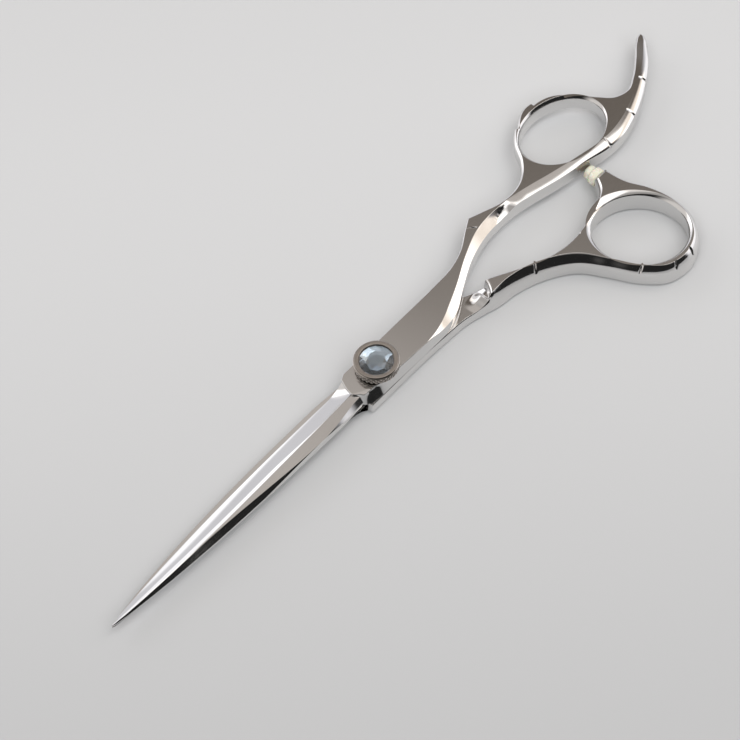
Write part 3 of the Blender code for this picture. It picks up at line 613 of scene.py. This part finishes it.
# Outline as the finger half's.
THUMB_EDGE = (
    (6.0, -4.2, 0.2, 0.2, 0.5, 1), (-12.0, -4.3, 0.2, 0.2, 0.5, 0),
    (-16.0, -4.2, 0.2, 0.2, 0.5, 0), (-19.5, -3.3, 0.2, 0.2, 0.5, 0),
    (-23.0, -1.3, 0.2, 0.2, 0.5, 0), (-26.0, 0.8, 0.2, 0.2, 0.5, 0),
    (-31.2, 2.9, 0.3, 0.3, 0.6, 0), (-37.4, 6.2, 0.3, 0.3, 0.6, 0),
    (-43.0, 8.8, 0.3, 0.3, 0.6, 0), (-49.0, 9.9, 0.3, 0.3, 0.6, 0),
    (-55.0, 9.2, 0.35, 0.4, 0.6, 0), (-60.4, 7.5, 0.5, 0.6, 0.5, 0),
    (-63.4, 5.5, 0.9, 1.2, 0.5, 0), (-65.2, 3.0, 0.8, 1.6, 0.7, 1),
    (-68.6, 3.0, 0.8, 1.4, 0.7, 1), (-69.0, 8.5, 0.5, 0.6, 0.6, 0),
    (-70.9, 13.3, 0.5, 0.6, 0.6, 0), (-72.0, 19.0, 0.6, 0.7, 0.6, 0),
    (-71.3, 24.7, 0.9, 1.1, 0.5, 0), (-67.9, 29.4, 1.1, 1.6, 0.4, 0),
    (-62.8, 31.25, 1.1, 1.7, 0.4, 0), (-57.6, 30.2, 1.1, 1.7, 0.4, 0),
    (-53.3, 25.7, 1.3, 1.7, 0.4, 0), (-50.0, 19.4, 1.4, 1.7, 0.4, 0),
    (-46.9, 14.1, 1.7, 1.9, 0.4, 0), (-41.0, 9.9, 1.7, 2.2, 0.4, 0),
    (-34.0, 7.5, 1.6, 2.3, 0.4, 0), (-30.0, 7.0, 1.2, 2.0, 0.4, 0),
    (-27.3, 6.2, 0.3, 0.4, 0.4, 0), (-22.0, 4.9, 0.2, 0.25, 0.4, 0),
    (-16.0, 4.5, 0.2, 0.2, 0.5, 0), (6.5, 4.4, 0.2, 0.2, 0.5, 1),
    (7.0, 2.0, 0.2, 0.2, 0.5, 1),
)
THUMB_HOLE = (-61.1, 18.8, 10.3, 8.9, 126.0)
THUMB_HOLE_BEVEL = ((0.8, 0.8), (0.8, 0.7), (1.0, 0.55), (1.7, 0.60),
                    (1.0, 0.50), (0.5, 0.4), (0.4, 0.4), (0.8, 0.8))
THUMB_GROOVES = ((-39.8, 9.2, 0.4, 0.45, 0.3), (-53.4, 25.9, 0.4, 0.4, 0.3),
                 (-59.4, 30.9, 0.4, 0.4, 0.3), (-64.5, 31.2, 0.4, 0.4, 0.3),
                 (-52.1, 9.8, 0.35, 0.4, 0.0), (-58.6, 8.1, 0.35, 0.4, 0.0))
CURL_START, CURL_ALONG = np.array((2.6, 2.3)), np.array((0.758, -0.65))
STEP_START = np.array((-31.0, 2.7))
STEP_ALONG = np.array((3.2, 4.3)) / math.hypot(3.2, 4.3)
STEP_ACROSS = np.array((-STEP_ALONG[1], STEP_ALONG[0]))


def thumb_top(place):
    """Inner face before the step and the shank's top after it.

    u runs along the step and f forwards from it. The shank ends in a lip, bowed as a sine and
    rounded as a quarter ellipse, over a scoop. A ridge, at p along and g past its line, parts
    the scoop from a facet that falls to the inner face as a power of g.
    """
    off = place - STEP_START
    u, f = off @ STEP_ALONG, -(off @ STEP_ACROSS)
    from_curl = np.stack([u, f], 1) - CURL_START
    p = from_curl @ CURL_ALONG
    g = from_curl @ np.array((-CURL_ALONG[1], CURL_ALONG[0]))
    swell = 1.2 * eased((p + 1.7) / 2.4)
    past = np.where(g > 0, np.clip(1 - g / 3.8, 0, 1) ** 1.8, 1 - 0.6 * eased(-g / 1.0))
    low = THUMB_INNER + swell * past
    bow = f + 0.1 + 0.55 * np.sin(math.pi * np.clip(u / 5.3, 0, 1))
    lip = THUMB_TOP - 0.75 * (1 - np.sqrt(1 - np.clip(bow / 0.7, 0, 0.995) ** 2))
    wall = eased((bow - 0.6) / 0.5)
    return lip + (low - lip) * wall


def thumb_base(place):
    """Height of the underside, which is flat."""
    return np.full(len(place), THUMB_BASE)


thumb = solid("thumb_half_polished",
              plate(THUMB_EDGE, THUMB_HOLE, THUMB_HOLE_BEVEL, thumb_top, thumb_base, 0.35,
                    THUMB_GROOVES, fine=[(-32.5, 1.0, -23.5, 7.5, 0.1)])
              + blade_sheets(-1, THUMB_INNER, 4.3, 4.0, 2.6))
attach(thumb, "thumb_side")
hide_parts("thumb_half")

# ---- polished steel ----
# Forged stainless steel, polished on felt wheels: a clear mirror with a faint haze of lines
# along the shears and the slow waves that a wheel leaves in a hand-held face.
def clad(piece, made):
    """Give a piece one material."""
    piece.data.materials.clear()
    piece.data.materials.append(made)


def polished_steel():
    """Mirror-polished stainless steel: haze of 0.2 mm lines, waves of 7 mm."""
    made, tree, shader, place = surface("mirror-polished stainless steel")
    drawn = add(tree, "ShaderNodeMapping", [(0, place)], i3=(0.12, 1.0, 1.0))
    lines = add(tree, "ShaderNodeTexNoise", [(0, drawn.outputs[0])], i2=5000.0, i3=2.0)
    waves = add(tree, "ShaderNodeTexNoise", [(0, place)], i2=140.0, i3=1.0)
    cloud = add(tree, "ShaderNodeTexNoise", [(0, place)], i2=60.0, i3=3.0)
    tint = add(tree, "ShaderNodeMix", [(0, cloud.outputs[0])], data_type="RGBA",
               i6=linear("#dbdad9"), i7=linear("#e2e1e0"))
    tree.links.new(tint.outputs[2], shader.inputs["Base Color"])
    haze = add(tree, "ShaderNodeMapRange", [(0, lines.outputs[0])], i1=0.3, i2=0.7, i3=0.07, i4=0.12)
    tree.links.new(haze.outputs[0], shader.inputs["Roughness"])
    fine = add(tree, "ShaderNodeBump", [(2, lines.outputs[0])], i0=0.06, i1=0.00002)
    slow = add(tree, "ShaderNodeBump", [(2, waves.outputs[0]), (3, fine.outputs[0])],
               i0=0.25, i1=0.00006)
    tree.links.new(slow.outputs[0], shader.inputs["Normal"])
    shader.inputs["Metallic"].default_value = 1.0
    return made


steel = polished_steel()
for half_piece in (finger, thumb):
    clad(half_piece, steel)


# ---- pivot bolt ----
# A turned and hardened bolt: flat head in the thumb half's back, square neck, ground journal
# and a thread for the dial, with two flats that key the click washer.
def filleted(profile, radius, steps=4):
    """A closed profile with an arc of the given radius in each corner, or less if it is short."""
    profile = np.asarray(profile, float)
    before, after = np.roll(profile, 1, 0) - profile, np.roll(profile, -1, 0) - profile
    short = np.minimum(np.hypot(*before.T), np.hypot(*after.T)) * 0.45
    before /= np.hypot(*before.T)[:, None]
    after /= np.hypot(*after.T)[:, None]
    half_angle = np.arccos(np.clip((before * after).sum(1), -1, 1)) / 2
    reach = np.minimum(radius / np.tan(half_angle), short)
    reach = np.where(profile[:, 0] < 0.001, 0.0, reach)
    rows = []
    for t in np.linspace(0.0, 1.0, steps + 1):
        rows.append(profile + reach[:, None] * ((1 - t) ** 2 * before + t ** 2 * after))
    return np.stack(rows, 1).reshape(-1, 2)


def turned_piece(name, profile, steps, shape=None, z=0.0):
    """A closed profile of radius and height carried round the pivot axis.

    shape gives new x, y and z arrays from the arrays of angle, radius and height.
    """
    profile = np.asarray(profile, float)
    a = np.arange(steps)[:, None] * math.tau / steps
    radius, height = profile[:, 0][None, :], profile[:, 1][None, :] + 0 * a
    x, y = radius * np.cos(a), radius * np.sin(a)
    if shape:
        x, y, height = shape(a, radius, height)
    grid = np.stack([x, y, height + z], 2)
    return solid(name, [(grid, grid_faces(*grid.shape[:2], 0, wrap_columns=True))])


def bolt_form(a, radius, height):
    """Square neck: the radius is the smaller of its own and half the width over the larger of
    cos a and sin a. Thread: a triangle wave of the height and the angle. Key: x is cut flat."""
    square = 1.6 / np.maximum(np.abs(np.cos(a)), np.abs(np.sin(a)))
    neck = (height > 0.72) & (height < 2.74)
    radius = np.where(neck, square, radius + 0 * a)
    thread = (height > 6.42) & (height < 7.6)
    phase = np.abs((height / 0.35 + a / math.tau) % 1.0 - 0.5) * 2
    radius = np.where(thread, radius - 0.18 * phase, radius)
    x, y = radius * np.cos(a), radius * np.sin(a)
    return np.where(height > 6.4, np.clip(x, -0.95, 0.95), x), y, height


BOLT_PROFILE = [(0.0, 7.8), (1.15, 7.8), (1.3, 7.65), *[(1.3, z) for z in np.arange(7.6, 6.42, -0.05)],
                (1.3, 6.4), (1.6, 6.4), (1.6, 2.75), (1.6, 2.73), (1.6, 0.73), (1.6, 0.7), (3.3, 0.7),
                (3.3, 0.15), (3.15, 0.0), (2.2, 0.0), (2.15, 0.03), (0.0, 0.03)]
bolt = turned_piece("pivot_bolt_turned", BOLT_PROFILE, 96, bolt_form)
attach(bolt, "thumb_side")
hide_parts("pivot_bolt")


def hardened_steel():
    """Hardened steel, turned and ground: grey, with 0.15 mm rings left by the tool."""
    made, tree, shader, place = surface("ground hardened steel")
    rings = add(tree, "ShaderNodeTexWave", [(0, place)], wave_type="RINGS", rings_direction="Z",
                i1=1050.0, i2=1.5, i3=2.0)
    grain = add(tree, "ShaderNodeTexNoise", [(0, place)], i2=2500.0, i3=3.0)
    tint = add(tree, "ShaderNodeMix", [(0, grain.outputs[0])], data_type="RGBA",
               i6=linear("#a3a4a7"), i7=linear("#bcbdbf"))
    tree.links.new(tint.outputs[2], shader.inputs["Base Color"])
    rough = add(tree, "ShaderNodeMapRange", [(0, grain.outputs[0])], i3=0.18, i4=0.32)
    tree.links.new(rough.outputs[0], shader.inputs["Roughness"])
    bump = add(tree, "ShaderNodeBump", [(2, rings.outputs[1])], i0=0.3, i1=0.000006)
    tree.links.new(bump.outputs[0], shader.inputs["Normal"])
    shader.inputs["Metallic"].default_value = 1.0
    return made


hardened = hardened_steel()
clad(bolt, hardened)
for name in ("lower_race", "upper_race", "wave_spring", "click_washer",
             *[f"bearing_ball_{i:02d}" for i in range(1, 11)]):
    clad(nodes[name], hardened)


# ---- slip washer and bush ----
# The washer between the halves is skived PTFE, waxy white; the bush is pressed from bronze
# powder, so it is a dull brown with pores that hold its oil.
def skived_ptfe():
    """Skived PTFE: waxy white with knife lines 0.3 mm apart."""
    made, tree, shader, place = surface("skived white PTFE")
    lines = add(tree, "ShaderNodeTexWave", [(0, place)], i1=520.0, i2=2.0, i3=2.0)
    tint = add(tree, "ShaderNodeMix", [(0, lines.outputs[1])], data_type="RGBA",
               i6=linear("#e6e6e2"), i7=linear("#efeeea"))
    tree.links.new(tint.outputs[2], shader.inputs["Base Color"])
    rough = add(tree, "ShaderNodeMapRange", [(0, lines.outputs[1])], i3=0.42, i4=0.52)
    tree.links.new(rough.outputs[0], shader.inputs["Roughness"])
    bump = add(tree, "ShaderNodeBump", [(2, lines.outputs[1])], i0=0.3, i1=0.00001)
    tree.links.new(bump.outputs[0], shader.inputs["Normal"])
    shader.inputs["Subsurface Weight"].default_value = 0.1
    shader.inputs["Subsurface Scale"].default_value = 0.0005
    return made


def sintered_bronze():
    """Sintered bronze: brown metal with dark pores of 0.1 mm."""
    made, tree, shader, place = surface("sintered bronze")
    pores = add(tree, "ShaderNodeTexVoronoi", [(0, place)], i2=9000.0)
    tint = add(tree, "ShaderNodeMix", [(0, pores.outputs[0])], data_type="RGBA",
               i6=linear("#7a5a34"), i7=linear("#b98a4e"))
    tree.links.new(tint.outputs[2], shader.inputs["Base Color"])
    rough = add(tree, "ShaderNodeMapRange", [(0, pores.outputs[0])], i3=0.55, i4=0.38)
    tree.links.new(rough.outputs[0], shader.inputs["Roughness"])
    bump = add(tree, "ShaderNodeBump", [(2, pores.outputs[0])], i0=0.4, i1=0.00002)
    tree.links.new(bump.outputs[0], shader.inputs["Normal"])
    shader.inputs["Metallic"].default_value = 1.0
    return made


clad(nodes["blade_washer"], skived_ptfe())
clad(nodes["pivot_bush"], sintered_bronze())


# ---- ball cage ----
# A ring stamped from half-hard brass strip, tumbled, with pockets for ten steel balls.
def stamped_brass():
    """Stamped and tumbled brass: yellow, with soft 0.4 mm dents and clouds of tarnish."""
    made, tree, shader, place = surface("stamped brass")
    dents = add(tree, "ShaderNodeTexNoise", [(0, place)], i2=2500.0, i3=2.0)
    cloud = add(tree, "ShaderNodeTexNoise", [(0, place)], i2=600.0, i3=3.0)
    tint = add(tree, "ShaderNodeMix", [(0, cloud.outputs[0])], data_type="RGBA",
               i6=linear("#b08d4c"), i7=linear("#d8b76c"))
    tree.links.new(tint.outputs[2], shader.inputs["Base Color"])
    rough = add(tree, "ShaderNodeMapRange", [(0, dents.outputs[0])], i3=0.2, i4=0.36)
    tree.links.new(rough.outputs[0], shader.inputs["Roughness"])
    bump = add(tree, "ShaderNodeBump", [(2, dents.outputs[0])], i0=0.3, i1=0.00001)
    tree.links.new(bump.outputs[0], shader.inputs["Normal"])
    shader.inputs["Metallic"].default_value = 1.0
    return made


clad(nodes["bearing_cage"], stamped_brass())

# ---- tension dial ----
# A cup turned from stainless bar, with a diamond knurl rolled into its side, screwed on to the
# bolt. Its face is left as turned, so that it is duller than the polished halves.
DIAL_BASE, DIAL_TOP, DIAL_RADIUS = 6.65, 8.6, 4.83
# The real knurl has a pitch of about 0.4 mm, which wouldn't show, so it is drawn 2.4 times as
# coarse.
KNURL_LOW, KNURL_HIGH, KNURL_DEPTH, KNURL_ROUND, KNURL_PITCH = 6.75, 8.2, 0.24, 30, 0.92


def knurl_form(a, radius, height):
    """Diamonds: the lower of two triangle waves, of u = p + q and v = p - q, where p counts
    pitches round the dial and q up it. Their tops are cut flat."""
    p, q = a * KNURL_ROUND / math.tau, height / KNURL_PITCH
    wave = np.minimum(np.abs((p + q) % 1.0 - 0.5), np.abs((p - q) % 1.0 - 0.5)) * 2
    wave = np.minimum(1.8 * wave, 1.0)
    side = (radius > DIAL_RADIUS - 0.1) & (height > KNURL_LOW) & (height < KNURL_HIGH)
    radius = np.where(side, radius - KNURL_DEPTH * (1 - wave), radius + 0 * a)
    return radius * np.cos(a), radius * np.sin(a), height


plain = filleted([(1.4, 7.9), (3.75, 7.9), (3.75, DIAL_TOP), (DIAL_RADIUS - 0.28, DIAL_TOP),
                  (DIAL_RADIUS, DIAL_TOP - 0.25), (DIAL_RADIUS, KNURL_HIGH + 0.04)], 0.07)[:-5]
lower = [(DIAL_RADIUS - KNURL_DEPTH, KNURL_HIGH)] + [
    (DIAL_RADIUS - 0.02, z) for z in np.linspace(KNURL_HIGH - 0.01, KNURL_LOW + 0.01, 30)]
lower += [(DIAL_RADIUS - KNURL_DEPTH, KNURL_LOW), (DIAL_RADIUS - KNURL_DEPTH, DIAL_BASE + 0.08),
          (DIAL_RADIUS - KNURL_DEPTH - 0.08, DIAL_BASE), (4.1, DIAL_BASE), (4.1, 7.12), (1.4, 7.12)]
dial = turned_piece("tension_dial_knurled", np.concatenate([plain, lower]), 660, knurl_form)
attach(dial, "dial")
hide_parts("tension_dial")


def turned_steel():
    """Stainless steel as turned: a matt grey with 0.12 mm rings round the axis, and painted shade,
    dark in the bottom of the knurl."""
    made, tree, shader, place = surface("turned stainless steel")
    rings = add(tree, "ShaderNodeTexWave", [(0, place)], wave_type="RINGS", rings_direction="Z",
                i1=1300.0, i2=2.0, i3=2.0, i4=3.0)
    grain = add(tree, "ShaderNodeTexNoise", [(0, place)], i2=4000.0, i3=2.0)
    tint = add(tree, "ShaderNodeMix", [(0, grain.outputs[0])], data_type="RGBA",
               i6=linear("#b3aca5"), i7=linear("#c8c1ba"))
    # painted shade: by the distance from the axis, the colour goes to near black #24211f in the bottom
    # of the knurl
    flat = add(tree, "ShaderNodeVectorMath", [(0, place)], operation="MULTIPLY", i1=(1.0, 1.0, 0.0))
    far = add(tree, "ShaderNodeVectorMath", [(0, flat.outputs[0])], operation="LENGTH")
    crest = add(tree, "ShaderNodeMapRange", [(0, far.outputs["Value"])],
                i1=MM * (DIAL_RADIUS - KNURL_DEPTH), i2=MM * (DIAL_RADIUS - 0.06))
    face = add(tree, "ShaderNodeMath", [(0, far.outputs["Value"])], operation="LESS_THAN",
               i1=MM * (DIAL_RADIUS - KNURL_DEPTH - 0.01))
    unshaded = add(tree, "ShaderNodeMath", [(0, crest.outputs[0]), (1, face.outputs[0])],
                operation="MAXIMUM")
    knurl_valley_shade = add(tree, "ShaderNodeMix", [(0, unshaded.outputs[0]), (7, tint.outputs[2])],
                data_type="RGBA", i6=linear("#24211f"))
    tree.links.new(knurl_valley_shade.outputs[2], shader.inputs["Base Color"])
    rough = add(tree, "ShaderNodeMapRange", [(0, grain.outputs[0])], i3=0.24, i4=0.38)
    tree.links.new(rough.outputs[0], shader.inputs["Roughness"])
    bump = add(tree, "ShaderNodeBump", [(2, rings.outputs[1])], i0=0.3, i1=0.000006)
    tree.links.new(bump.outputs[0], shader.inputs["Normal"])
    shader.inputs["Metallic"].default_value = 1.0
    return made


clad(dial, turned_steel())

# ---- stone ----
# A flat-backed stone of pale blue glass, 7.2 mm across, cut with an eight-sided table, eight
# stars, eight kites and sixteen small facets round its edge. It is glued on a silvered foil in
# the dial's seat.
STONE_BASE, STONE_HEIGHT, STONE_RADIUS, STONE_TABLE = 8.1, 1.1, 3.6, 1.75


def stone_rows():
    """Rows of corners: a ring of eight at the table, one of eight between them further out and
    lower, one of sixteen at the girdle and its foot. Returns points and facets."""
    def ring(count, turn, radius, height):
        a = (np.arange(count) + turn) * math.tau / count
        return np.stack([radius * np.cos(a), radius * np.sin(a), height + 0 * a], 1)
    top = STONE_BASE + STONE_HEIGHT
    points = np.concatenate([ring(8, 0.0, STONE_TABLE, top),
                             ring(8, 0.5, STONE_RADIUS * 0.74, top - 0.36 * STONE_HEIGHT),
                             ring(16, 0.0, STONE_RADIUS, STONE_BASE + 0.2),
                             ring(16, 0.0, STONE_RADIUS, STONE_BASE)])
    table = [list(range(8))]
    stars = [[i, 8 + i, (i + 1) % 8] for i in range(8)]
    kites = [[i, 8 + (i - 1) % 8, 16 + 2 * i, 8 + i] for i in range(8)]
    small = [[8 + i, 16 + 2 * i, 16 + 2 * i + 1] for i in range(8)]
    small += [[8 + i, 16 + 2 * i + 1, 16 + (2 * i + 2) % 16] for i in range(8)]
    girdle = [[16 + i, 32 + i, 32 + (i + 1) % 16, 16 + (i + 1) % 16] for i in range(16)]
    return points, table + stars + kites + small + girdle + [list(range(32, 48))]


stone = solid("stone_cut", [stone_rows()], sharp=2.0)
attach(stone, "dial")
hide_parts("stone")


def cut_glass():
    """Pale blue cut glass: clear, with faint polishing lines on its facets."""
    made, tree, shader, place = surface("cut pale blue glass")
    grain = add(tree, "ShaderNodeTexNoise", [(0, place)], i2=1500.0, i3=2.0)
    tint = add(tree, "ShaderNodeMix", [(0, grain.outputs[0])], data_type="RGBA",
               i6=linear("#e6eef4"), i7=linear("#eff4f8"))
    tree.links.new(tint.outputs[2], shader.inputs["Base Color"])
    rough = add(tree, "ShaderNodeMapRange", [(0, grain.outputs[0])], i3=0.0, i4=0.03)
    tree.links.new(rough.outputs[0], shader.inputs["Roughness"])
    bump = add(tree, "ShaderNodeBump", [(2, grain.outputs[0])], i0=0.1, i1=0.000004)
    tree.links.new(bump.outputs[0], shader.inputs["Normal"])
    shader.inputs["Transmission Weight"].default_value = 0.97
    shader.inputs["IOR"].default_value = 1.56
    return made


def silvered_foil():
    """Silvered foil under a blue lacquer: a mirror with 0.5 mm ripples."""
    made, tree, shader, place = surface("silvered foil")
    ripple = add(tree, "ShaderNodeTexNoise", [(0, place)], i2=2000.0, i3=2.0)
    tint = add(tree, "ShaderNodeMix", [(0, ripple.outputs[0])], data_type="RGBA",
               i6=linear("#c6d0d8"), i7=linear("#e2e8ed"))
    tree.links.new(tint.outputs[2], shader.inputs["Base Color"])
    rough = add(tree, "ShaderNodeMapRange", [(0, ripple.outputs[0])], i3=0.05, i4=0.10)
    tree.links.new(rough.outputs[0], shader.inputs["Roughness"])
    bump = add(tree, "ShaderNodeBump", [(2, ripple.outputs[0])], i0=0.2, i1=0.00002)
    tree.links.new(bump.outputs[0], shader.inputs["Normal"])
    shader.inputs["Metallic"].default_value = 1.0
    return made


clad(stone, cut_glass())
clad(nodes["stone_foil"], silvered_foil())

# ---- bumper ----
# The stop on the thumb ring's neck: a ribbed button moulded in clear silicone, which has gone
# slightly yellow, with a stem that is pressed into the neck.
BUMPER_FOOT = (-67.0, 2.9, 3.2)
BUMPER_PROFILE = [(0.0, 3.70), (1.0, 3.6), (1.55, 3.2), (1.72, 2.6), (1.6, 2.1), (1.75, 1.9),
                  (2.08, 1.6), (2.08, 0.35), (1.85, 0.02), (0.9, 0.02), (0.9, -2.2), (0.0, -2.2)]


def bumper_form(a, radius, height):
    """Ribs: the radius swells by a cosine of eight turns between the foot and the crown. Then
    the axis is laid along -Y, from the neck's end."""
    swell = np.clip(height / 0.5, 0, 1) * np.clip((3.4 - height) / 1.0, 0, 1)
    radius = radius * (1 - 0.06 * swell * (1 - np.cos(8 * a)) / 2)
    x, y, z = BUMPER_FOOT
    return x + radius * np.cos(a), y - height, z + radius * np.sin(a)


bumper = turned_piece("bumper_ribbed", filleted(BUMPER_PROFILE, 0.18), 96, bumper_form)
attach(bumper, "thumb_side")
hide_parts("bumper")


def clear_silicone():
    """Moulded clear silicone, aged: a milky, faintly yellow gel with a satin skin."""
    made, tree, shader, place = surface("moulded clear silicone")
    cloud = add(tree, "ShaderNodeTexNoise", [(0, place)], i2=700.0, i3=3.0)
    tint = add(tree, "ShaderNodeMix", [(0, cloud.outputs[0])], data_type="RGBA",
               i6=linear("#e4e1cb"), i7=linear("#f3f2e4"))
    tree.links.new(tint.outputs[2], shader.inputs["Base Color"])
    rough = add(tree, "ShaderNodeMapRange", [(0, cloud.outputs[0])], i3=0.18, i4=0.34)
    tree.links.new(rough.outputs[0], shader.inputs["Roughness"])
    bump = add(tree, "ShaderNodeBump", [(2, cloud.outputs[0])], i0=0.2, i1=0.00005)
    tree.links.new(bump.outputs[0], shader.inputs["Normal"])
    shader.inputs["Transmission Weight"].default_value = 0.2
    shader.inputs["IOR"].default_value = 1.41
    shader.inputs["Subsurface Weight"].default_value = 0.3
    shader.inputs["Subsurface Scale"].default_value = 0.001
    return made


clad(bumper, clear_silicone())

scene.view_settings.view_transform = "Standard"
